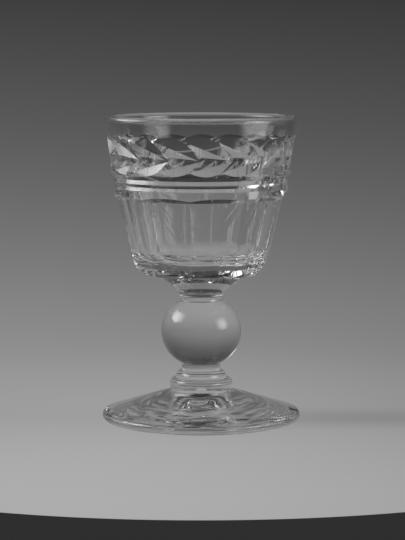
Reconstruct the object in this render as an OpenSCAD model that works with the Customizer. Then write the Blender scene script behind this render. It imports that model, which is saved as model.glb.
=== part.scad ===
// Cordial glass: a wheel-cut bowl on a ball stem and a plain foot, fused hot from six pieces of clear glass.
// Z is the axis of the glass. The foot stands on z = 0, and -Y is the front.

/* [Foot] */
// Diameter of the foot at its widest
foot_d = 58.2; // [52:0.2:66]
// Height of the foot, up to the seat of the cushion knop
foot_h = 8.6; // [7.5:0.1:11]
// Thickness of the foot at its round edge
foot_edge_t = 2.6; // [2.2:0.1:3.2]
// Width of the flat ring that the foot stands on
rest_ring_w = 2.2; // [1:0.1:4]
// Rise of the underside from that ring to the polished hollow
foot_rise = 0.5; // [0.2:0.1:2.4]
// Diameter of the polished hollow in the middle of the underside
pontil_d = 36; // [14:0.5:40]
// Depth of the polished hollow
pontil_depth = 0.8; // [0.5:0.1:2]

/* [Cushion knop] */
// Diameter of the cushion knop
cushion_d = 18.6; // [17:0.1:22]
// Height of the cushion knop
cushion_h = 3.7; // [2.7:0.1:5]
// Radius of its rounded shoulder
cushion_round = 1.8; // [1.2:0.1:2.2]
// How far it draws in on the foot
cushion_tuck = 0.3; // [0.1:0.05:0.6]

/* [Lower neck] */
// Diameter of the lower neck at its waist
neck_d = 11.5; // [9:0.1:12]
// Height of the lower neck
neck_h = 4.45; // [3.8:0.05:6]
// Radius of the bead at its root
neck_bead = 2.3; // [1.6:0.1:2.8]

/* [Ball knop] */
// Diameter of the ball
ball_d = 23.6; // [21:0.1:26]
// Radius of its round side, a little under half of the diameter because the ball is flattened
ball_side = 10.2; // [9.8:0.05:10.4]
// Height of the ball below its widest level
ball_lower_h = 9.15; // [8.6:0.05:9.5]
// Height of the ball above its widest level
ball_upper_h = 9; // [8.6:0.05:9.5]

/* [Collar] */
// Height of the collar between the ball and the bowl
collar_h = 3.1; // [2.6:0.1:5]
// Diameter of the collar at its waist
collar_d = 12.5; // [10:0.1:12.6]
// Diameter of the collar where it spreads under the bowl
collar_top_d = 14.2; // [13.6:0.1:17]
// Radius of the hollow curve that spreads it
collar_flare = 2.2; // [1.6:0.1:2.5]

/* [Bowl] */
// Height of the bowl, from the collar to the lip
bowl_h = 51; // [47:0.5:60]
// Diameter of the bowl at the lip
lip_d = 55.7; // [53:0.1:60]
// Thickness of the glass at the lip
lip_t = 2.4; // [2.2:0.1:3]
// Diameter of the bowl at the foot of the leaf band
band_d = 52.4; // [51.8:0.1:55]
// Diameter of the plain step under the ring cuts
step_d = 50.7; // [49.6:0.1:51.6]
// Thickness of the solid bottom, from the collar to the inside
floor_t = 9; // [8.5:0.1:11]
// How much steeper the inside starts at the lip than the outside, in degrees
inside_lean = 5.6; // [5:0.1:7]
// Radius of the bow that the inside follows from the lip down
inside_bow = 60; // [50:1:70]
// Slope of the inside below that bow, in degrees from the axis
wall_slope = 14; // [13.5:0.1:15]
// Radius of the rounding between the floor and the wall
floor_round = 5; // [3:0.5:9]
// Diameter of the underside where it turns from the shallow hollow to the corner
under_d = 26; // [20:0.5:28]
// Height of the underside there, above the collar
under_h = 4.4; // [3.4:0.1:4.8]
// Height of the underside at the corner, above the collar
corner_h = 6; // [5.6:0.1:7]

/* [Leaf band] */
// Number of leaf pairs round the bowl
leaves = 18; // [14:1:20]
// Turn of the band about the axis, in degrees from the front
leaf_turn = -0.5; // [-10:0.5:10]
// Height of the line where upper and lower leaves meet, above the collar
leaf_mid_h = 39.2; // [38.6:0.1:40]
// Height of the middle of an upper leaf above that line
leaf_up = 2.5; // [2.2:0.1:3]
// Drop of the middle of a lower leaf below that line
leaf_down = 1.8; // [1.4:0.1:2.2]
// Slope of the upper leaves, in degrees
leaf_up_slope = 21; // [15:1:27]
// Slope of the lower leaves, in degrees
leaf_down_slope = 14; // [8:1:20]
// How far the middle of a leaf lies before its tip, in degrees about the axis
leaf_lead = 13.5; // [10:0.5:16]
// Depth of a leaf cut at its middle
leaf_depth = 1.4; // [0.9:0.05:1.7]
// Angle between the two sides of a leaf cut
leaf_angle = 130; // [115:1:140]
// Radius of the wheel that cuts the leaves
leaf_wheel = 34; // [24:1:60]

/* [Ring cuts] */
// Height of the foot of the leaf band, where the upper ring cut starts, above the collar
ring_top_h = 34.4; // [34:0.1:34.8]
// Width of the upper ring cut
ring_1_w = 2.2; // [1.8:0.1:2.4]
// Width of the lower ring cut
ring_2_w = 1.9; // [1.5:0.1:2.2]
// Depth of the ring cuts below the step
ring_depth = 0.45; // [0.2:0.05:0.7]

/* [Flutes] */
// Number of flutes round the bowl
flutes = 10; // [8:1:12]
// Turn of the flutes about the axis, in degrees from the front
flute_turn = 10.8; // [0:0.5:36]
// Height of the top of a flute, above the collar
flute_top_h = 27.1; // [24:0.1:28]
// Height of the bevel's upper edge under a flute, above the collar
bevel_h = 7.6; // [7:0.1:9]
// Depth of a flute at its top, where its shoulder starts
flute_depth = 2.2; // [1.8:0.05:2.4]
// Slope of a flute, in degrees from the axis
flute_slope = 13; // [11:0.5:14]
// Slope of the shoulder over a flute, in degrees from the flute
flute_shoulder = 60; // [45:1:70]
// Slope of the bevel under a flute, in degrees from the axis
bevel_slope = 42; // [36:1:50]

/* [Hidden] */
$fn = 144;
glass = [0.8, 0.86, 0.88, 0.6];
over = 1; // how far a cutting shape reaches past what it cuts
corner_over = 5; // how far the bowl's corner stands out past the flutes before they are cut

// heights of the fused joints, from the table up
cushion_z = foot_h;
neck_z = cushion_z + cushion_h;
ball_z = neck_z + neck_h;
ball_mid_z = ball_z + ball_lower_h;
collar_z = ball_mid_z + ball_upper_h;
bowl_z = collar_z + collar_h;

// radii of the fused joints, each shared by the two pieces that meet there
function ball_r(h) = ball_d / 2 - ball_side + sqrt(ball_side * ball_side - h * h);
cushion_seat_r = cushion_d / 2 - cushion_tuck;
neck_seat_r = cushion_d / 2 - cushion_round;
ball_seat_r = ball_r(ball_lower_h);
collar_seat_r = ball_r(ball_upper_h);
bowl_seat_r = collar_top_d / 2;

// the bowl's outside tapers from the lip to the foot of the leaf band, and its flutes lean in to the corner
lip_r = lip_d / 2;
lip_round = lip_t / 2;
lip_low_h = bowl_h - lip_round;
function outside_r(h) = band_d / 2 + (lip_r - band_d / 2) * (h - ring_top_h) / (lip_low_h - ring_top_h);
outside_slope = atan((lip_r - band_d / 2) / (lip_low_h - ring_top_h));
function flute_r(h) = step_d / 2 - flute_depth - (flute_top_h - h) * tan(flute_slope);

// A round edge, a straight cone up to the cushion knop, and a hollow underside with a polished dish in the middle
module foot() {
    edge_r = foot_edge_t / 2;
    edge_mid = foot_d / 2 - edge_r;
    ring_in = edge_mid - rest_ring_w;
    dish_r = pontil_d / 2;
    dish_ball = (dish_r * dish_r + pontil_depth * pontil_depth) / (2 * pontil_depth);
    color(glass)
    rotate_extrude()
    difference() {
        union() {
            polygon([[0, 0], [edge_mid, 0], [edge_mid, foot_edge_t], [cushion_seat_r, foot_h], [0, foot_h]]);
            translate([edge_mid, edge_r]) circle(r = edge_r);
        }
        polygon([[0, -over], [ring_in, -over], [ring_in, 0], [dish_r, foot_rise], [0, foot_rise]]);
        translate([0, foot_rise + pontil_depth - dish_ball]) circle(r = dish_ball);
    }
}

// A thick flat bead with a rounded shoulder
module cushion_knop() {
    shoulder_h = cushion_h - cushion_round;
    color(glass)
    translate([0, 0, cushion_z])
    rotate_extrude() {
        polygon([[0, 0], [cushion_seat_r, 0], [cushion_d / 2, shoulder_h], [neck_seat_r, cushion_h], [0, cushion_h]]);
        intersection() {
            translate([neck_seat_r, shoulder_h]) circle(r = cushion_round);
            square([cushion_d, cushion_h]);
        }
    }
}

// A short waist that rises from a bead
module lower_neck() {
    color(glass)
    translate([0, 0, neck_z])
    rotate_extrude() {
        polygon([[0, 0], [neck_d / 2, 0], [neck_d / 2, neck_h - neck_bead / 2], [ball_seat_r, neck_h], [0, neck_h]]);
        intersection() {
            translate([neck_seat_r - neck_bead, 0]) circle(r = neck_bead);
            square([neck_seat_r, neck_h]);
        }
    }
}

// A flattened ball, cut level where it joins the necks
module ball_knop() {
    color(glass)
    translate([0, 0, ball_mid_z])
    rotate_extrude() {
        translate([0, -ball_lower_h]) square([ball_seat_r, ball_lower_h]);
        square([collar_seat_r, ball_upper_h]);
        intersection() {
            translate([ball_d / 2 - ball_side, 0]) circle(r = ball_side);
            translate([0, -ball_lower_h]) square([ball_d, ball_lower_h + ball_upper_h]);
        }
    }
}

// A waist that spreads in a hollow curve under the bowl
module collar() {
    color(glass)
    translate([0, 0, collar_z])
    rotate_extrude()
    difference() {
        polygon([[0, 0], [collar_seat_r, 0], [bowl_seat_r, collar_h - collar_flare / 2], [bowl_seat_r, collar_h],
            [0, collar_h]]);
        translate([collar_d / 2 + collar_flare, collar_h - collar_flare * 0.9]) circle(r = collar_flare);
    }
}

// The outline of the uncut bowl: underside, thick lower wall, step, ring cuts, leaf band and round lip
module bowl_outline() {
    step_r = step_d / 2;
    ring_mid_h = ring_top_h - ring_1_w;
    ring_low_h = ring_mid_h - ring_2_w;
    blank_r = flute_r(bevel_h) + corner_over;
    polygon([
        [0, 0], [bowl_seat_r, 0], [under_d / 2, under_h], [blank_r, corner_h],
        [step_r, flute_top_h], [step_r, ring_low_h],
        [step_r - ring_depth, ring_low_h + ring_2_w / 2], [step_r, ring_mid_h],
        [step_r - ring_depth, ring_mid_h + ring_1_w / 2], [band_d / 2, ring_top_h],
        [lip_r, lip_low_h], [0, lip_low_h]
    ]);
    translate([lip_r - lip_round, lip_low_h]) circle(r = lip_round);
}

// The outline of the space inside the bowl: a bow from the lip, a straight wall and a round corner at the floor
module bowl_inside() {
    lip_slope = min(wall_slope - 1, max(0, outside_slope - inside_lean));
    bow_mid_r = lip_r - lip_t - inside_bow * cos(lip_slope);
    bow_mid_h = lip_low_h + inside_bow * sin(lip_slope);
    bow_low_r = bow_mid_r + inside_bow * cos(wall_slope);
    bow_low_h = bow_mid_h - inside_bow * sin(wall_slope);
    round_h = floor_t + floor_round;
    round_r = bow_low_r - (bow_low_h - round_h) * tan(wall_slope) - floor_round / cos(wall_slope);
    polygon([
        [0, floor_t], [round_r, floor_t],
        [round_r + floor_round * cos(wall_slope), round_h - floor_round * sin(wall_slope)],
        [bow_low_r, bow_low_h], [0, bow_low_h]
    ]);
    translate([round_r, round_h]) circle(r = floor_round);
    intersection() {
        translate([bow_mid_r, bow_mid_h]) circle(r = inside_bow);
        translate([0, bow_low_h]) square([lip_r, lip_low_h - bow_low_h]);
    }
    translate([0, lip_low_h]) square([lip_r - lip_t, bowl_h + over - lip_low_h]);
}

// The cutting wheel for the leaves, a flat double cone with a sharp rim
module leaf_cutter() {
    bite = 2 * leaf_depth;
    half_t = bite * tan(leaf_angle / 2);
    rotate_extrude()
    polygon([[0, -half_t], [leaf_wheel - bite, -half_t], [leaf_wheel, 0], [leaf_wheel - bite, half_t], [0, half_t]]);
}

// The first child with the second taken away from it n times round the axis, one cut after another
module cut_round(n, turn) {
    cut_next(n, turn, n) {
        children(0);
        children(1);
    }
}

module cut_next(n, turn, left) {
    if (left == 0)
        children(0);
    else
        difference() {
            cut_next(n, turn, left - 1) {
                children(0);
                children(1);
            }
            rotate([0, 0, turn + left * 360 / n]) children(1);
        }
}

// The wheel at one leaf whose middle is at height h, turned by slope
module leaf_cut(h, slope) {
    translate([outside_r(h) - leaf_depth + leaf_wheel, 0, h])
    rotate([slope, 0, 0])
    leaf_cutter();
}

// What is ground away for one flute: a flat face, a sloping shoulder over it and a bevel under it
module flute_cut() {
    face_h = (flute_top_h - bevel_h) / cos(flute_slope);
    reach = corner_over + over;
    translate([flute_r(bevel_h), 0, bevel_h])
    rotate([90, flute_slope, 0])
    linear_extrude(height = step_d, center = true)
    polygon([
        [-bevel_h * tan(bevel_slope - flute_slope), -bevel_h], [0, 0], [0, face_h],
        [reach, face_h + reach / tan(flute_shoulder)], [reach, -bevel_h]
    ]);
}

module bowl_blank() {
    rotate_extrude()
    difference() {
        bowl_outline();
        bowl_inside();
    }
}

module bowl() {
    leaf_middle = leaf_turn - leaf_lead - 90;
    color(glass)
    translate([0, 0, bowl_z])
    cut_round(leaves, leaf_middle) {
        cut_round(leaves, leaf_middle) {
            cut_round(flutes, flute_turn - 90) {
                bowl_blank();
                flute_cut();
            }
            leaf_cut(leaf_mid_h + leaf_up, -leaf_up_slope);
        }
        leaf_cut(leaf_mid_h - leaf_down, leaf_down_slope);
    }
}

foot();
cushion_knop();
lower_neck();
ball_knop();
collar();
bowl();
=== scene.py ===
from math import atan, cos, degrees, pi, radians, sin, sqrt, tan

import bpy
import numpy as np
from mathutils import Matrix, Vector


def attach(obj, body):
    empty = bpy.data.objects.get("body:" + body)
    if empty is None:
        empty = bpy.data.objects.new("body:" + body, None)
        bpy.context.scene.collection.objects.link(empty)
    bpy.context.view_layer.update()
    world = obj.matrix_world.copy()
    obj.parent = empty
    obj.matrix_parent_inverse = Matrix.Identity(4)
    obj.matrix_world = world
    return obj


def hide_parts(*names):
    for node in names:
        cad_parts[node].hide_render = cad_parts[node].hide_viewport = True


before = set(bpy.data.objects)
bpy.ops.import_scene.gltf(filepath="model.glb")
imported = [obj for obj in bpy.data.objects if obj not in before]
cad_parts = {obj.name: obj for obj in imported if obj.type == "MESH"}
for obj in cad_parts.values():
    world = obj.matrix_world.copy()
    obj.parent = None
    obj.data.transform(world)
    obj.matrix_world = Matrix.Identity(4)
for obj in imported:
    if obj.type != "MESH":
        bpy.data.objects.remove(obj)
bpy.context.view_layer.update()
print("frame loaded")

mm = 0.001              # the glass is drawn in mm, the stage and the lights in metres
aroundCount = 288       # points round every turned piece, so that joined pieces share their edges
sharpEdge = 20          # an edge stays sharp from this many degrees between its faces
tiny = 1e-6             # what counts as no distance
notZero = 1e-9          # keeps a division by a radius safe on the axis


def link(tree, fromSocket, toSocket):
    tree.links.new(fromSocket, toSocket)


def mathNode(tree, kind, a, b=None):
    node = tree.nodes.new("ShaderNodeMath")
    node.operation = kind
    for socket, value in zip(node.inputs, (a, b)):
        if isinstance(value, (int, float)):
            socket.default_value = value
        elif value is not None:
            link(tree, value, socket)
    return node.outputs[0]


def lengthNode(tree, a, b):
    squares = [mathNode(tree, "MULTIPLY", side, side) for side in (a, b)]
    return mathNode(tree, "SQRT", mathNode(tree, "ADD", *squares))


def oneMinus(tree, value):
    return mathNode(tree, "SUBTRACT", 1.0, value)


def smoothStep(tree, value, low, high):
    node = tree.nodes.new("ShaderNodeMapRange")
    node.interpolation_type = "SMOOTHSTEP"
    node.inputs["From Min"].default_value = low
    node.inputs["From Max"].default_value = high
    link(tree, value, node.inputs["Value"])
    return node.outputs["Result"]


# one kind of glass, with its own surface on the bowl, the stem and the foot
# sizes are in metres, and depths in units of reliefUnit
glassBody = dict(
    colour=(0.985, 0.985, 0.985, 1), ior=1.54, reliefUnit=0.0001,
    ringDrift=0.7,          # how far, in rings, the waves push the rings out of round
    dustScale=900.0, dustPower=6.0,
)
glassLooks = {
    "bowlGlass": {
        "Wave Size": 0.02, "Wave Depth": 0.15, "Ring Size": 0.006, "Ring Depth": 0.0,
        "Haze": 0.0, "Dust": 0.02,
    },
    "stemGlass": {
        "Wave Size": 0.012, "Wave Depth": 0.4, "Ring Size": 0.006, "Ring Depth": 0.0,
        "Haze": 0.0, "Dust": 0.02,
    },
    "footGlass": {
        "Wave Size": 0.014, "Wave Depth": 1.9, "Ring Size": 0.0075, "Ring Depth": 0.6,
        "Haze": 0.0, "Dust": 0.02,
    },
}


def surfaceGroup():
    group = bpy.data.node_groups.new("glassSurface", "ShaderNodeTree")
    face = group.interface
    for name, value in glassLooks["bowlGlass"].items():
        socket = face.new_socket(name=name, in_out="INPUT", socket_type="NodeSocketFloat")
        socket.default_value = value
    for name in ("Roughness", "Height"):
        face.new_socket(name=name, in_out="OUTPUT", socket_type="NodeSocketFloat")
    start = group.nodes.new("NodeGroupInput")
    end = group.nodes.new("NodeGroupOutput")
    place = group.nodes.new("ShaderNodeTexCoord").outputs["Object"]

    # slow waves, as hot glass has when it sets
    waves = group.nodes.new("ShaderNodeTexNoise")
    waves.inputs["Detail"].default_value = 1.0
    link(group, place, waves.inputs["Vector"])
    link(group, mathNode(group, "DIVIDE", 1.0, start.outputs["Wave Size"]), waves.inputs["Scale"])
    waveHeight = mathNode(group, "MULTIPLY", waves.outputs[0], start.outputs["Wave Depth"])

    # rings left by turning the piece under the tool, not quite round and not quite even
    parts = group.nodes.new("ShaderNodeSeparateXYZ")
    link(group, place, parts.inputs[0])
    reach = lengthNode(group, parts.outputs[0], parts.outputs[1])
    turns = mathNode(group, "DIVIDE", reach, start.outputs["Ring Size"])
    drift = mathNode(group, "MULTIPLY", waves.outputs[0], glassBody["ringDrift"])
    angle = mathNode(group, "MULTIPLY", mathNode(group, "ADD", turns, drift), 2 * pi)
    ringWave = mathNode(group, "SINE", angle)
    ringHeight = mathNode(group, "MULTIPLY", ringWave, start.outputs["Ring Depth"])
    link(group, mathNode(group, "ADD", waveHeight, ringHeight), end.inputs["Height"])

    # a trace of dust on the polish
    dust = group.nodes.new("ShaderNodeTexNoise")
    dust.inputs["Scale"].default_value = glassBody["dustScale"]
    link(group, place, dust.inputs["Vector"])
    specks = mathNode(group, "POWER", dust.outputs[0], glassBody["dustPower"])
    dusty = mathNode(group, "MULTIPLY", specks, start.outputs["Dust"])
    link(group, mathNode(group, "ADD", start.outputs["Haze"], dusty), end.inputs["Roughness"])
    return group


glassSurface = surfaceGroup()


def glassMaterial(name):
    material = bpy.data.materials.new(name)
    material.use_nodes = True
    tree = material.node_tree
    shader = tree.nodes["Principled BSDF"]
    shader.inputs["Base Color"].default_value = glassBody["colour"]
    shader.inputs["Transmission Weight"].default_value = 1.0
    shader.inputs["IOR"].default_value = glassBody["ior"]
    shader.inputs["Metallic"].default_value = 0.0
    surface = tree.nodes.new("ShaderNodeGroup")
    surface.node_tree = glassSurface
    for socketName, value in glassLooks[name].items():
        surface.inputs[socketName].default_value = value
    link(tree, surface.outputs["Roughness"], shader.inputs["Roughness"])
    bump = tree.nodes.new("ShaderNodeBump")
    bump.inputs["Strength"].default_value = 1.0
    bump.inputs["Distance"].default_value = glassBody["reliefUnit"]
    link(tree, surface.outputs["Height"], bump.inputs["Height"])
    link(tree, bump.outputs["Normal"], shader.inputs["Normal"])
    return material


bowlGlass = glassMaterial("bowlGlass")
stemGlass = glassMaterial("stemGlass")
footGlass = glassMaterial("footGlass")

# two gathers fused hot leave no surface between them, so the discs where pieces meet are clear
fusedJoint = bpy.data.materials.new("fusedJoint")
fusedJoint.use_nodes = True
fusedJoint.node_tree.nodes["Principled BSDF"].inputs["Alpha"].default_value = 0.0
print("materials made")


def arc(midR, midZ, radius, fromAngle, toAngle, steps):
    angles = np.linspace(radians(fromAngle), radians(toAngle), steps + 1)
    return [(midR + radius * cos(a), midZ + radius * sin(a)) for a in angles]


# turns a profile of (radius, height) points, which runs from the axis round to the axis
def turned(name, profile, count=aroundCount):
    verts, faces, rings = [], [], []
    for r, z in profile:
        if r < tiny:
            rings.append([len(verts)])
            verts.append((0, 0, z))
        else:
            rings.append(list(range(len(verts), len(verts) + count)))
            angles = [2 * pi * k / count for k in range(count)]
            verts += [(r * cos(a), r * sin(a), z) for a in angles]
    for low, high in zip(rings, rings[1:]):
        for k in range(count):
            n = (k + 1) % count
            if len(low) == 1:
                faces.append((low[0], high[n], high[k]))
            elif len(high) == 1:
                faces.append((low[k], low[n], high[0]))
            else:
                faces.append((low[k], low[n], high[n], high[k]))
    mesh = bpy.data.meshes.new(name)
    mesh.from_pydata(verts, [], faces)
    mesh.update()
    return mesh


def addObject(name, mesh):
    piece = bpy.data.objects.new(name, mesh)
    bpy.context.scene.collection.objects.link(piece)
    return piece


def liftToPlace(mesh, lift):
    mesh.transform(Matrix.Scale(mm, 4) @ Matrix.Translation((0, 0, lift)))


# seats are the (height, radius) of the discs where this piece is fused to its neighbours
def turnedPiece(name, profile, lift, material, seats):
    mesh = turned(name, profile)
    liftToPlace(mesh, lift)
    mesh.materials.append(material)
    mesh.materials.append(fusedJoint)
    for face in mesh.polygons:
        face.use_smooth = True
        for seatZ, seatR in seats:
            level = abs(face.center.z - (lift + seatZ) * mm) < tiny
            if level and face.center.xy.length < seatR * mm:
                face.material_index = 1
    mesh.set_sharp_from_angle(angle=radians(sharpEdge))
    return addObject(name, mesh)


foot = dict(
    width=58.2, height=8.6, edgeThick=2.6,
    restRing=2.2, rise=0.5, dishWidth=36, dishDepth=0.8,        # its underside
    edgeSteps=24, dishSteps=12,
)


def makeFoot():
    edge = foot["edgeThick"] / 2
    edgeMid = foot["width"] / 2 - edge
    dishR, depth = foot["dishWidth"] / 2, foot["dishDepth"]
    dishBall = (dishR ** 2 + depth ** 2) / (2 * depth)
    dishMid = foot["rise"] + depth - dishBall
    profile = []
    for k in range(foot["dishSteps"] + 1):
        r = dishR * k / foot["dishSteps"]
        profile.append((r, dishMid + sqrt(dishBall ** 2 - r ** 2)))
    profile += [(edgeMid - foot["restRing"], 0), (edgeMid, 0)]
    profile += arc(edgeMid, edge, edge, -90, 90, foot["edgeSteps"])[1:]
    profile += [(cushionSeat, foot["height"]), (0, foot["height"])]
    return turnedPiece("footDisc", profile, 0, footGlass, [(foot["height"], cushionSeat)])


cushion = dict(width=18.6, height=3.7, shoulder=1.8, tuck=0.3, shoulderSteps=12)
cushionLift = foot["height"]
cushionSeat = cushion["width"] / 2 - cushion["tuck"]        # radius of its joint with the foot


def makeCushion():
    shoulderZ = cushion["height"] - cushion["shoulder"]
    profile = [(0, 0), (cushionSeat, 0), (cushion["width"] / 2, shoulderZ)]
    profile += arc(neckSeat, shoulderZ, cushion["shoulder"], 0, 90, cushion["shoulderSteps"])[1:]
    profile += [(0, cushion["height"])]
    seats = [(0, cushionSeat), (cushion["height"], neckSeat)]
    return turnedPiece("cushionBead", profile, cushionLift, stemGlass, seats)


neck = dict(width=11.5, height=4.45, bead=2.3, beadSteps=10)
neckLift = cushionLift + cushion["height"]
neckSeat = cushion["width"] / 2 - cushion["shoulder"]       # radius of its joint with the cushion


def makeNeck():
    bead = neck["bead"]
    beadMid = neckSeat - bead
    waist = neck["width"] / 2
    meet = sqrt(bead ** 2 - (waist - beadMid) ** 2)             # height where bead and waist meet
    endAngle = degrees(atan(meet / (waist - beadMid)))
    profile = [(0, 0)] + arc(beadMid, 0, bead, 0, endAngle, neck["beadSteps"])
    profile += [(waist, neck["height"] - bead / 2), (ballSeat, neck["height"]), (0, neck["height"])]
    seats = [(0, neckSeat), (neck["height"], ballSeat)]
    return turnedPiece("lowerWaist", profile, neckLift, stemGlass, seats)


ball = dict(width=23.6, sideRadius=10.2, below=9.15, above=9.0, sideSteps=48)
ballLift = neckLift + neck["height"] + ball["below"]
ballMid = ball["width"] / 2 - ball["sideRadius"]            # radius of the centre of its sides


def ballRadius(h):
    return ballMid + sqrt(ball["sideRadius"] ** 2 - h ** 2)


ballSeat = ballRadius(ball["below"])                        # radius of its joint with the neck


def makeBall():
    low = -degrees(atan(ball["below"] / (ballSeat - ballMid)))
    high = degrees(atan(ball["above"] / (collarSeat - ballMid)))
    side = arc(ballMid, 0, ball["sideRadius"], low, high, ball["sideSteps"])
    profile = [(0, -ball["below"])] + side + [(0, ball["above"])]
    seats = [(-ball["below"], ballSeat), (ball["above"], collarSeat)]
    return turnedPiece("ballKnop", profile, ballLift, stemGlass, seats)


collar = dict(height=3.1, waist=12.5, topWidth=14.2, flare=2.2, flareRise=0.9, flareSteps=16)
collarLift = ballLift + ball["above"]
collarSeat = ballRadius(ball["above"])                      # radius of its joint with the ball
bowlSeat = collar["topWidth"] / 2                           # and of its joint with the bowl


# a straight side from the ball to below the bowl, with a round hollow taken out of it
def makeCollar():
    flare, top = collar["flare"], collar["height"]
    midR = collar["waist"] / 2 + flare
    midZ = top - flare * collar["flareRise"]
    sideR, sideZ = bowlSeat - collarSeat, top - flare / 2
    length = sqrt(sideR ** 2 + sideZ ** 2)
    sideR, sideZ = sideR / length, sideZ / length
    # how far along that side the hollow begins
    toMid = (midR - collarSeat) * sideR + midZ * sideZ
    nearest = sqrt((midR - collarSeat) ** 2 + midZ ** 2 - toMid ** 2)
    enter = toMid - sqrt(flare ** 2 - nearest ** 2)
    enterR, enterZ = collarSeat + sideR * enter, sideZ * enter
    exitZ = midZ + sqrt(flare ** 2 - (bowlSeat - midR) ** 2)
    fromAngle = np.degrees(np.arctan2(enterZ - midZ, enterR - midR)) % 360
    toAngle = np.degrees(np.arctan2(min(exitZ, top) - midZ, bowlSeat - midR)) % 360
    profile = [(0, 0), (collarSeat, 0)]
    profile += arc(midR, midZ, flare, fromAngle, toAngle, collar["flareSteps"])
    if exitZ < top:
        profile += [(bowlSeat, top)]
    profile += [(0, top)]
    seats = [(0, collarSeat), (top, bowlSeat)]
    return turnedPiece("upperCollar", profile, collarLift, stemGlass, seats)


# heights are above the collar
bowl = dict(
    height=51, lipWidth=55.7, lipThick=2.4, bandWidth=52.4, stepWidth=50.7,
    ringTop=34.4, ringOne=2.2, ringTwo=1.9, ringDepth=0.45,
    cornerHeight=6, cornerOver=5, underWidth=26, underHeight=4.4,
    insideLean=5.6, insideBow=60, wallSlope=14, floorRound=5, floorThick=9,
    lipSteps=20, bowSteps=24, floorSteps=20,
    longSide=1.0,           # a piece of the profile that is shorter than this is part of a round
)
bowlLift = collarLift + collar["height"]
lipR = bowl["lipWidth"] / 2
lipRound = bowl["lipThick"] / 2
lipLow = bowl["height"] - lipRound
bandR = bowl["bandWidth"] / 2
stepR = bowl["stepWidth"] / 2

# the inside is a bow from the lip, and then a straight wall down to the round of the floor
outsideSlope = atan((lipR - bandR) / (lipLow - bowl["ringTop"]))
lipSlope = outsideSlope - radians(bowl["insideLean"])
wallSlope = radians(bowl["wallSlope"])
bowMidR = lipR - bowl["lipThick"] - bowl["insideBow"] * cos(lipSlope)
bowMidH = lipLow + bowl["insideBow"] * sin(lipSlope)


def bandRadius(h):
    return bandR + (lipR - bandR) * (h - bowl["ringTop"]) / (lipLow - bowl["ringTop"])


# the bowl before it is cut: its profile, and its rounds as (middle, height, radius, 1 or -1 inside)
def blankProfile():
    ringMid = bowl["ringTop"] - bowl["ringOne"]
    ringLow = ringMid - bowl["ringTwo"]
    ringR = stepR - bowl["ringDepth"]
    blankR = fluteRadius(fluteCuts["bevel"]) + bowl["cornerOver"]
    line = [
        (0, 0), (bowlSeat, 0),
        (bowl["underWidth"] / 2, bowl["underHeight"]), (blankR, bowl["cornerHeight"]),
        (stepR, fluteCuts["top"]), (stepR, ringLow),
        (ringR, ringLow + bowl["ringTwo"] / 2), (stepR, ringMid),
        (ringR, ringMid + bowl["ringOne"] / 2), (bandR, bowl["ringTop"]),
        (lipR, lipLow),
    ]
    line += arc(lipR - lipRound, lipLow, lipRound, 0, 180, bowl["lipSteps"])[1:]
    floorRound, bow = bowl["floorRound"], bowl["insideBow"]
    bowLowR, bowLowH = bowMidR + bow * cos(wallSlope), bowMidH - bow * sin(wallSlope)
    roundH = bowl["floorThick"] + floorRound
    roundR = bowLowR - (bowLowH - roundH) * tan(wallSlope) - floorRound / cos(wallSlope)
    steps = bowl["bowSteps"]
    line += arc(bowMidR, bowMidH, bow, -degrees(lipSlope), -bowl["wallSlope"], steps)[1:]
    line += arc(roundR, roundH, floorRound, -bowl["wallSlope"], -90, bowl["floorSteps"])
    line += [(0, bowl["floorThick"])]
    rounds = [
        (lipR - lipRound, lipLow, lipRound, 1),
        (bowMidR, bowMidH, bow, -1),
        (roundR, roundH, floorRound, -1),
    ]
    return line, rounds


# ten flat flutes, each with a shoulder above it and a bevel below
fluteCuts = dict(
    count=10, turn=10.8, top=27.1, bevel=7.6, depth=2.2, slope=13,
    shoulderSlope=46, bevelSlope=42,
    overrun=1,              # how far the tool reaches past the blank
)
fluteTurn = radians(fluteCuts["turn"] - 90)


def fluteRadius(h):
    slant = (fluteCuts["top"] - h) * tan(radians(fluteCuts["slope"]))
    return stepR - fluteCuts["depth"] - slant


# the tool that cuts one flute, its place, and its three planes as (point, direction) in its outline
def fluteTool():
    slope = radians(fluteCuts["slope"])
    bevel = radians(fluteCuts["bevelSlope"]) - slope
    shoulder = radians(fluteCuts["shoulderSlope"])
    low = fluteCuts["bevel"]
    faceHeight = (fluteCuts["top"] - low) / cos(slope)
    reach = bowl["cornerOver"] + fluteCuts["overrun"]
    outline = [
        (-low * tan(bevel), -low), (0, 0), (0, faceHeight),
        (reach, faceHeight + reach / tan(shoulder)), (reach, -low),
    ]
    count = len(outline)
    verts = [(x, side * stepR, z) for side in (-1, 1) for x, z in outline]
    faces = [tuple(range(count))[::-1], tuple(range(count, 2 * count))]
    faces += [(k, (k + 1) % count, count + (k + 1) % count, count + k) for k in range(count)]
    mesh = bpy.data.meshes.new("fluteTool")
    mesh.from_pydata(verts, [], faces)
    place = Matrix.Translation((fluteRadius(low), 0, low)) @ Matrix.Rotation(slope, 4, "Y")
    mesh.transform(place)
    mesh.update()
    planes = [
        ((0, 0), (1, 0)),
        ((0, faceHeight), (cos(shoulder), -sin(shoulder))),
        ((0, 0), (cos(bevel), -sin(bevel))),
    ]
    return mesh, place, planes


# two rows of leaves, each leaf one cut of a wheel with a V-shaped rim
leafCuts = dict(
    count=18, turn=-0.5, lead=13.5, meetHeight=39.2, wheel=34, wheelPoints=640,
    up=2.3, upSlope=22, upDepth=1.65, upAngle=119,
    down=1.8, downSlope=14, downDepth=1.45, downAngle=130,
    rimWeld=0.001, flankSlack=0.02,
)
leafTurn = radians(leafCuts["turn"] - leafCuts["lead"] - 90)


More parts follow.
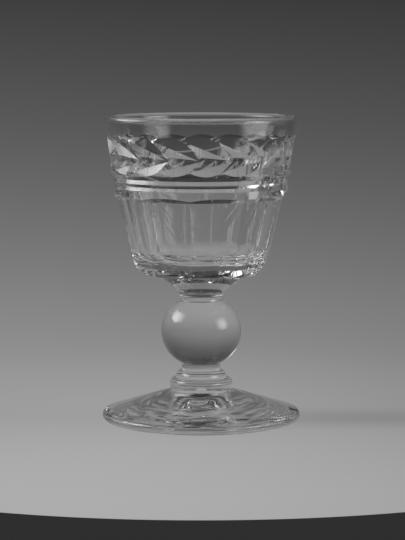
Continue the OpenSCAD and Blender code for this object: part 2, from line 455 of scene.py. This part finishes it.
# each row's place of the wheel, its slope and half of the angle of its rim
def leafRows():
    rows = []
    for row, sign in (("up", 1), ("down", -1)):
        height = leafCuts["meetHeight"] + sign * leafCuts[row]
        wheelR = bandRadius(height) - leafCuts[row + "Depth"] + leafCuts["wheel"]
        slope = -sign * radians(leafCuts[row + "Slope"])
        half = radians(leafCuts[row + "Angle"] / 2)
        rows.append((Vector((wheelR, 0, height)), slope, half))
    return rows


def makeGroupInput(tree, sockets):
    for name, kind, value in sockets:
        kind = "NodeSocket" + kind
        socket = tree.interface.new_socket(name=name, in_out="INPUT", socket_type=kind)
        if value is not None:
            socket.default_value = value
    tree.interface.new_socket(name="Geometry", in_out="OUTPUT", socket_type="NodeSocketGeometry")
    return tree.nodes.new("NodeGroupInput"), tree.nodes.new("NodeGroupOutput")


# takes a tool out of the geometry, Count times round the axis
def cutRoundTree():
    tree = bpy.data.node_groups.new("cutRound", "GeometryNodeTree")
    start, end = makeGroupInput(tree, [
        ("Geometry", "Geometry", None), ("Tool", "Geometry", None),
        ("Count", "Int", leafCuts["count"]), ("Turn", "Float", 0.0),
    ])
    loopIn = tree.nodes.new("GeometryNodeRepeatInput")
    loopOut = tree.nodes.new("GeometryNodeRepeatOutput")
    loopIn.pair_with_output(loopOut)
    link(tree, start.outputs["Count"], loopIn.inputs["Iterations"])
    link(tree, start.outputs["Geometry"], loopIn.inputs["Geometry"])
    step = mathNode(tree, "DIVIDE", 2 * pi, start.outputs["Count"])
    passed = mathNode(tree, "MULTIPLY", loopIn.outputs["Iteration"], step)
    spinTool = tree.nodes.new("GeometryNodeTransform")
    turnBy = tree.nodes.new("ShaderNodeCombineXYZ")
    link(tree, mathNode(tree, "ADD", passed, start.outputs["Turn"]), turnBy.inputs["Z"])
    link(tree, start.outputs["Tool"], spinTool.inputs["Geometry"])
    link(tree, turnBy.outputs[0], spinTool.inputs["Rotation"])
    cut = tree.nodes.new("GeometryNodeMeshBoolean")
    cut.operation = "DIFFERENCE"
    cut.solver = "MANIFOLD"
    link(tree, loopIn.outputs["Geometry"], cut.inputs[0])
    link(tree, spinTool.outputs[0], cut.inputs[1])
    link(tree, cut.outputs[0], loopOut.inputs["Geometry"])
    link(tree, loopOut.outputs["Geometry"], end.inputs["Geometry"])
    return tree


# the cutting wheel: two cones, base to base
def wheelTree():
    tree = bpy.data.node_groups.new("leafWheel", "GeometryNodeTree")
    start, end = makeGroupInput(tree, [
        ("Radius", "Float", float(leafCuts["wheel"])), ("Half Thickness", "Float", 15.0),
        ("Slope", "Float", 0.0), ("Place", "Vector", None),
    ])
    cone = tree.nodes.new("GeometryNodeMeshCone")
    cone.fill_type = "NONE"
    cone.inputs["Vertices"].default_value = leafCuts["wheelPoints"]
    cone.inputs["Radius Top"].default_value = 0.0
    link(tree, start.outputs["Radius"], cone.inputs["Radius Bottom"])
    link(tree, start.outputs["Half Thickness"], cone.inputs["Depth"])
    under = tree.nodes.new("GeometryNodeTransform")
    under.inputs["Rotation"].default_value = (pi, 0, 0)
    link(tree, cone.outputs["Mesh"], under.inputs["Geometry"])
    both = tree.nodes.new("GeometryNodeJoinGeometry")
    link(tree, cone.outputs["Mesh"], both.inputs[0])
    link(tree, under.outputs[0], both.inputs[0])
    rim = tree.nodes.new("GeometryNodeMergeByDistance")
    rim.inputs["Distance"].default_value = leafCuts["rimWeld"]
    link(tree, both.outputs[0], rim.inputs["Geometry"])
    tilt = tree.nodes.new("GeometryNodeTransform")
    lean = tree.nodes.new("ShaderNodeCombineXYZ")
    link(tree, start.outputs["Slope"], lean.inputs["X"])
    link(tree, lean.outputs[0], tilt.inputs["Rotation"])
    link(tree, start.outputs["Place"], tilt.inputs["Translation"])
    link(tree, rim.outputs[0], tilt.inputs["Geometry"])
    link(tree, tilt.outputs[0], end.inputs["Geometry"])
    return tree


# all the cutting in its real order: the flutes, the upper leaves and the lower leaves
def bowlTree():
    tree = bpy.data.node_groups.new("wheelCutBowl", "GeometryNodeTree")
    sockets = [
        ("Geometry", "Geometry", None), ("Flute Tool", "Object", None),
        ("Flutes", "Int", fluteCuts["count"]), ("Flute Turn", "Float", 0.0),
        ("Leaves", "Int", leafCuts["count"]), ("Leaf Turn", "Float", 0.0),
        ("Wheel Radius", "Float", float(leafCuts["wheel"])),
    ]
    for row in ("Upper", "Lower"):
        sockets += [
            (row + " Half Thickness", "Float", 15.0), (row + " Slope", "Float", 0.0),
            (row + " Place", "Vector", None),
        ]
    start, end = makeGroupInput(tree, sockets + [("Glass", "Material", None)])
    cutRound, leafWheel = cutRoundTree(), wheelTree()

    def callGroup(group, links):
        node = tree.nodes.new("GeometryNodeGroup")
        node.node_tree = group
        for name, source in links.items():
            link(tree, source, node.inputs[name])
        return node.outputs["Geometry"]

    tool = tree.nodes.new("GeometryNodeObjectInfo")
    link(tree, start.outputs["Flute Tool"], tool.inputs["Object"])
    shape = callGroup(cutRound, {
        "Geometry": start.outputs["Geometry"], "Tool": tool.outputs["Geometry"],
        "Count": start.outputs["Flutes"], "Turn": start.outputs["Flute Turn"],
    })
    for row in ("Upper", "Lower"):
        wheel = callGroup(leafWheel, {
            "Radius": start.outputs["Wheel Radius"],
            "Half Thickness": start.outputs[row + " Half Thickness"],
            "Slope": start.outputs[row + " Slope"], "Place": start.outputs[row + " Place"],
        })
        shape = callGroup(cutRound, {
            "Geometry": shape, "Tool": wheel,
            "Count": start.outputs["Leaves"], "Turn": start.outputs["Leaf Turn"],
        })
    real = tree.nodes.new("GeometryNodeRealizeInstances")
    link(tree, shape, real.inputs[0])
    paint = tree.nodes.new("GeometryNodeSetMaterial")
    link(tree, real.outputs[0], paint.inputs["Geometry"])
    link(tree, start.outputs["Glass"], paint.inputs["Material"])
    link(tree, paint.outputs[0], end.inputs["Geometry"])
    return tree


def cutBlank(blank, tool, rows):
    tree = bowlTree()
    values = {
        "Flute Tool": tool, "Flutes": fluteCuts["count"], "Flute Turn": fluteTurn,
        "Leaves": leafCuts["count"], "Leaf Turn": leafTurn,
        "Wheel Radius": float(leafCuts["wheel"]), "Glass": bowlGlass,
    }
    for name, (middle, slope, half) in zip(("Upper", "Lower"), rows):
        values[name + " Half Thickness"] = leafCuts["wheel"] / tan(pi / 2 - half)
        values[name + " Slope"] = slope
        values[name + " Place"] = middle
    cuts = blank.modifiers.new("cuts", "NODES")
    cuts.node_group = tree
    for item in tree.interface.items_tree:
        if item.in_out == "INPUT" and item.name in values:
            cuts[item.identifier] = values[item.name]
    depsgraph = bpy.context.evaluated_depsgraph_get()
    mesh = bpy.data.meshes.new_from_object(blank.evaluated_get(depsgraph))
    mesh.name = "cutBowl"
    bpy.data.objects.remove(blank)      # and its modifier with it
    bpy.data.objects.remove(tool)
    return mesh


# A straight side turned round an axis: a cone, a cylinder or a plane. It measures how far points
# lie off it, and which way it faces there.
def straightSide(middle, axis, radius, across, along, oneFlank=False):
    middle, axis = np.array(middle, float), np.array(axis, float)

    def measure(points):
        offset = points - middle
        height = offset @ axis
        flat = offset - height[:, None] * axis
        reach = np.linalg.norm(flat, axis=1)
        distance = across * (reach - radius) + along * height
        if oneFlank:                    # each flank of a cut lies on its own side of the wheel
            distance = np.where(height < -leafCuts["flankSlack"], np.inf, distance)
        direction = across * flat / np.maximum(reach, notZero)[:, None] + along * axis
        return distance, direction

    return measure


# the same for a round, such as the lip's
def roundSide(midR, midZ, radius, sign):
    def measure(points):
        reach = np.linalg.norm(points[:, :2], axis=1)
        across, along = reach - midR, points[:, 2] - midZ
        length = np.hypot(across, along)
        flat = points[:, :2] / np.maximum(reach, notZero)[:, None]
        direction = sign * np.column_stack([flat * (across / length)[:, None], along / length])
        return length - radius, direction

    return measure


def bowlSides(line, rounds, rows, place, planes):
    sides = []
    for (r1, z1), (r2, z2) in zip(line, line[1:]):
        size = sqrt((r2 - r1) ** 2 + (z2 - z1) ** 2)
        if size > bowl["longSide"] or r1 == 0 or r2 == 0:
            across, along = (z2 - z1) / size, (r1 - r2) / size
            sides.append(straightSide((0, 0, z1), (0, 0, 1), r1, across, along))
    for k in range(leafCuts["count"]):
        spin = Matrix.Rotation(leafTurn + 2 * pi * k / leafCuts["count"], 3, "Z")
        for middle, slope, half in rows:
            axis = spin @ (Matrix.Rotation(slope, 3, "X") @ Vector((0, 0, 1)))
            for flank in (axis, -axis):
                across, along = -sin(half), -cos(half)
                sides.append(straightSide(
                    spin @ middle, flank, leafCuts["wheel"], across, along, oneFlank=True,
                ))
    for k in range(fluteCuts["count"]):
        spin = Matrix.Rotation(fluteTurn + 2 * pi * k / fluteCuts["count"], 4, "Z") @ place
        for (x, z), (nx, nz) in planes:
            axis = (spin.to_3x3() @ Vector((nx, 0, nz))).normalized()
            sides.append(straightSide(spin @ Vector((x, 0, z)), axis, 0, 0, 1))
    return sides + [roundSide(*bend) for bend in rounds]


# The cuts leave long thin faces, so each face finds the side that it lies on, and its corners
# take that side's exact normals. This is what makes the facets look ground and polished.
def trueNormals(mesh, sides):
    faceCount, loopCount = len(mesh.polygons), len(mesh.loops)
    middles, normals = np.empty(faceCount * 3), np.empty(faceCount * 3)
    mesh.polygons.foreach_get("center", middles)
    mesh.polygons.foreach_get("normal", normals)
    middles, normals = middles.reshape(-1, 3), normals.reshape(-1, 3)

    best = np.full(faceCount, np.inf)
    owner = np.zeros(faceCount, int)
    for index, measure in enumerate(sides):
        distance, direction = measure(middles)
        turnedAway = 1 - (direction * normals).sum(1)
        miss = np.abs(distance) + turnedAway / 2
        closer = miss < best
        best[closer], owner[closer] = miss[closer], index
    print("bowl faces", faceCount, "worst match", round(float(best.max()), 4))

    loopVerts, totals = np.empty(loopCount, int), np.empty(faceCount, int)
    verts = np.empty(len(mesh.vertices) * 3)
    mesh.loops.foreach_get("vertex_index", loopVerts)
    mesh.polygons.foreach_get("loop_total", totals)
    mesh.vertices.foreach_get("co", verts)
    corners = verts.reshape(-1, 3)[loopVerts]
    loopOwner = np.repeat(owner, totals)
    result = np.zeros((loopCount, 3))
    for index, measure in enumerate(sides):
        chosen = loopOwner == index
        if chosen.any():
            result[chosen] = measure(corners[chosen])[1]
    for face in mesh.polygons:
        face.use_smooth = True
    mesh.normals_split_custom_set(result.tolist())


def makeBowl():
    line, rounds = blankProfile()
    blank = addObject("bowlBlank", turned("bowlBlank", line))
    toolMesh, place, planes = fluteTool()
    rows = leafRows()
    mesh = cutBlank(blank, addObject("fluteTool", toolMesh), rows)
    trueNormals(mesh, bowlSides(line, rounds, rows, place, planes))
    liftToPlace(mesh, bowlLift)
    mesh.materials.append(fusedJoint)
    for face in mesh.polygons:
        if abs(face.center.z - bowlLift * mm) < tiny:
            face.material_index = 1
    return addObject("cutBowl", mesh)


pieces = {
    "foot": (makeFoot(), "foot_glass"),
    "cushion_knop": (makeCushion(), "stem_glass"),
    "lower_neck": (makeNeck(), "stem_glass"),
    "ball_knop": (makeBall(), "stem_glass"),
    "collar": (makeCollar(), "stem_glass"),
    "bowl": (makeBowl(), "bowl_glass"),
}
for node, (piece, slotName) in pieces.items():
    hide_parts(node)
    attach(piece, "root")
    piece.visible_shadow = False        # clear glass lets the light through to the sheet
print("glass made")


# a pale sheet that bends up all round the glass, in metres; it is no lamp, yet it glows with
# painted light and painted shade
stage = dict(
    flatRadius=0.12, bendRadius=0.08, wallTop=0.19, floorRings=(0.04, 0.08),
    bendSteps=24, aroundSteps=180,
    airGap=0.0001,          # under the foot, so that its flat ring mirrors from inside too
    paintedFrontLight=4.0, paintedRightShade=1.1,        # painted light, brighter towards the front, and painted shade, darker to the right
    # painted shade on the raised sheet towards the sides and the front
    wallFrom=-0.1, wallTo=0.5, wallFade=0.06, paintedWallShade=0.85,
    # a painted shadow of the glass beside its foot
    shadowX=0.045, shadowLong=0.07, shadowDeep=0.022, shadowDark=0.17,
    roomTone=0.028,
)
# painted light: how bright the glowing sheet is, by its distance from the middle plus its height,
# up to its dark top
paintedFalloffTones = [
    (0.0, 0.341), (0.048, 0.3255), (0.109, 0.285), (0.179, 0.2195), (0.221, 0.168), (0.254, 0.126),
    (0.280, 0.093), (0.304, 0.067), (0.327, 0.046), (0.345, 0.034), (0.39, 0.028),
]


def paintedFalloffRamp(tree, distance):
    longest = paintedFalloffTones[-1][0]
    ramp = tree.nodes.new("ShaderNodeValToRGB")
    stops = ramp.color_ramp.elements
    while len(stops) < len(paintedFalloffTones):
        stops.new(0.5)
    for stop, (t, tone) in zip(stops, paintedFalloffTones):
        stop.position = t / longest
    for stop, (t, tone) in zip(stops, paintedFalloffTones):
        stop.color = (tone, tone, tone, 1)
    link(tree, mathNode(tree, "DIVIDE", distance, longest), ramp.inputs["Fac"])
    return ramp.outputs["Color"]


def paintedLightGain(tree, x, y, z, reach):
    # painted light, brighter towards the front, and painted shade, darker to the right
    frontward = mathNode(tree, "MAXIMUM", mathNode(tree, "MULTIPLY", y, -1.0), 0.0)
    front = mathNode(tree, "MULTIPLY", frontward, stage["paintedFrontLight"])
    side = mathNode(tree, "MULTIPLY", x, -stage["paintedRightShade"])
    front, side = mathNode(tree, "ADD", front, 1.0), mathNode(tree, "ADD", side, 1.0)

    # painted shade: towards the sides and the front, the raised part of the sheet fades to the dark
    # room
    facing = mathNode(tree, "DIVIDE", y, mathNode(tree, "MAXIMUM", reach, 0.001))
    behind = smoothStep(tree, facing, stage["wallFrom"], stage["wallTo"])
    raised = smoothStep(tree, z, 0.0, stage["wallFade"])
    paintedWallShadeMask = mathNode(tree, "MULTIPLY", raised, oneMinus(tree, behind))
    kept = oneMinus(tree, mathNode(tree, "MULTIPLY", paintedWallShadeMask, stage["paintedWallShade"]))

    # a painted soft shadow of the glass, beside its foot on the right
    fromMiddle = mathNode(tree, "SUBTRACT", x, stage["shadowX"])
    longWay = mathNode(tree, "DIVIDE", fromMiddle, stage["shadowLong"])
    deepWay = mathNode(tree, "DIVIDE", y, stage["shadowDeep"])
    shade = oneMinus(tree, smoothStep(tree, lengthNode(tree, longWay, deepWay), 0.0, 1.0))
    paintedShadowFactor = oneMinus(tree, mathNode(tree, "MULTIPLY", shade, stage["shadowDark"]))

    gain = mathNode(tree, "MULTIPLY", front, side)
    return mathNode(tree, "MULTIPLY", mathNode(tree, "MULTIPLY", gain, kept), paintedShadowFactor)


def paintedLightMaterial():
    material = bpy.data.materials.new("studioSheet")
    material.use_nodes = True
    tree = material.node_tree
    tree.nodes.remove(tree.nodes["Principled BSDF"])
    parts = tree.nodes.new("ShaderNodeSeparateXYZ")
    link(tree, tree.nodes.new("ShaderNodeTexCoord").outputs["Object"], parts.inputs[0])
    x, y, z = parts.outputs
    reach = lengthNode(tree, x, y)
    # the sheet glows with painted light instead of being lit by the softboxes
    glow = tree.nodes.new("ShaderNodeEmission")
    link(tree, paintedFalloffRamp(tree, mathNode(tree, "ADD", reach, z)), glow.inputs["Color"])
    link(tree, paintedLightGain(tree, x, y, z, reach), glow.inputs["Strength"])
    # seen from outside the sheet is clear, so that a camera anywhere looks in through it
    clear = tree.nodes.new("ShaderNodeBsdfTransparent")
    both = tree.nodes.new("ShaderNodeMixShader")
    link(tree, tree.nodes.new("ShaderNodeNewGeometry").outputs["Backfacing"], both.inputs[0])
    link(tree, glow.outputs[0], both.inputs[1])
    link(tree, clear.outputs[0], both.inputs[2])
    link(tree, both.outputs[0], tree.nodes["Material Output"].inputs["Surface"])
    return material


def makeStage():
    flat, bend = stage["flatRadius"], stage["bendRadius"]
    line = [(0, 0)] + [(r, 0) for r in stage["floorRings"]] + [(flat, 0)]
    line += arc(flat, bend, bend, -90, 0, stage["bendSteps"])[1:]
    line += [(flat + bend, stage["wallTop"])]
    mesh = turned("studioSheet", line, stage["aroundSteps"])
    mesh.transform(Matrix.Translation((0, 0, -stage["airGap"])))
    mesh.flip_normals()
    for face in mesh.polygons:
        face.use_smooth = True
    mesh.materials.append(paintedLightMaterial())
    sheet = addObject("studioSheet", mesh)


# angles in degrees: azimuth from the front to the right, elevation above the middle of the ball
softboxes = {
    "softboxLeft": dict(
        azimuth=-94, elevation=33, distance=0.21, width=0.24, height=0.19, radiance=6.5,
    ),
    "softboxRight": dict(
        azimuth=67, elevation=22, distance=0.19, width=0.16, height=0.17, radiance=5.0,
    ),
}
softboxAim = Vector((0, 0, 0.026))


def makeSoftbox(name, box):
    data = bpy.data.lights.new(name, "AREA")
    data.shape = "RECTANGLE"
    data.size, data.size_y = box["width"], box["height"]
    data.energy = box["radiance"] * pi * box["width"] * box["height"]
    # the cloth of a softbox is brightest in its middle and fades to its edges
    data.use_nodes = True
    tree = data.node_tree
    cloth = tree.nodes.new("ShaderNodeNewGeometry")
    parts = tree.nodes.new("ShaderNodeSeparateXYZ")
    link(tree, cloth.outputs["Parametric"], parts.inputs[0])
    falls = []
    for side in parts.outputs[:2]:
        bump = mathNode(tree, "MULTIPLY", side, oneMinus(tree, side))
        edge = mathNode(tree, "MULTIPLY", bump, 4.0)        # 1 in the middle, 0 at both edges
        falls.append(mathNode(tree, "MULTIPLY", edge, edge))
    glow = [node for node in tree.nodes if node.type == "EMISSION"][0]
    link(tree, mathNode(tree, "MULTIPLY", *falls), glow.inputs["Strength"])

    lamp = bpy.data.objects.new(name, data)
    a, e = radians(box["azimuth"]), radians(box["elevation"])
    back = Vector((sin(a) * cos(e), -cos(a) * cos(e), sin(e)))
    lamp.location = softboxAim + back * box["distance"]
    lamp.visible_camera = False
    lamp.rotation_mode = "QUATERNION"
    lamp.rotation_quaternion = back.to_track_quat("Z", "Y")
    bpy.context.scene.collection.objects.link(lamp)


makeStage()
for name, box in softboxes.items():
    makeSoftbox(name, box)

# where the photograph was taken from, in metres, and how far the camera tilts down, in degrees
view = dict(
    side=0.0004, distance=0.590, height=0.110, pitch=6.4,
    focalPixels=2027, longSide=540,         # focal length and long side of the picture, in pixels
    sensorWidth=36,                         # in mm
)


def makeCamera():
    data = bpy.data.cameras.new("photoCamera")
    data.sensor_width = view["sensorWidth"]
    data.lens = view["focalPixels"] * view["sensorWidth"] / view["longSide"]
    camera = bpy.data.objects.new("photoCamera", data)
    camera.location = (view["side"], -view["distance"], view["height"])
    camera.rotation_euler = (radians(90 - view["pitch"]), 0, 0)
    bpy.context.scene.collection.objects.link(camera)
    bpy.context.scene.camera = camera


makeCamera()

scene = bpy.context.scene
scene.view_settings.view_transform = "Standard"
scene.cycles.use_denoising = True
scene.cycles.denoising_input_passes = "RGB_ALBEDO"
scene.cycles.max_bounces = 32
scene.cycles.transmission_bounces = 32
scene.cycles.transparent_max_bounces = 64
scene.cycles.glossy_bounces = 16
scene.cycles.diffuse_bounces = 2
scene.cycles.sample_clamp_indirect = 2      # keeps single bright dots out of the cut glass
scene.cycles.filter_width = 1.5
world = bpy.data.worlds.new("darkStudio")
world.use_nodes = True
room = world.node_tree.nodes["Background"]
room.inputs["Color"].default_value = (*[stage["roomTone"]] * 3, 1)
room.inputs["Strength"].default_value = 1.0
scene.world = world
print("stage made")
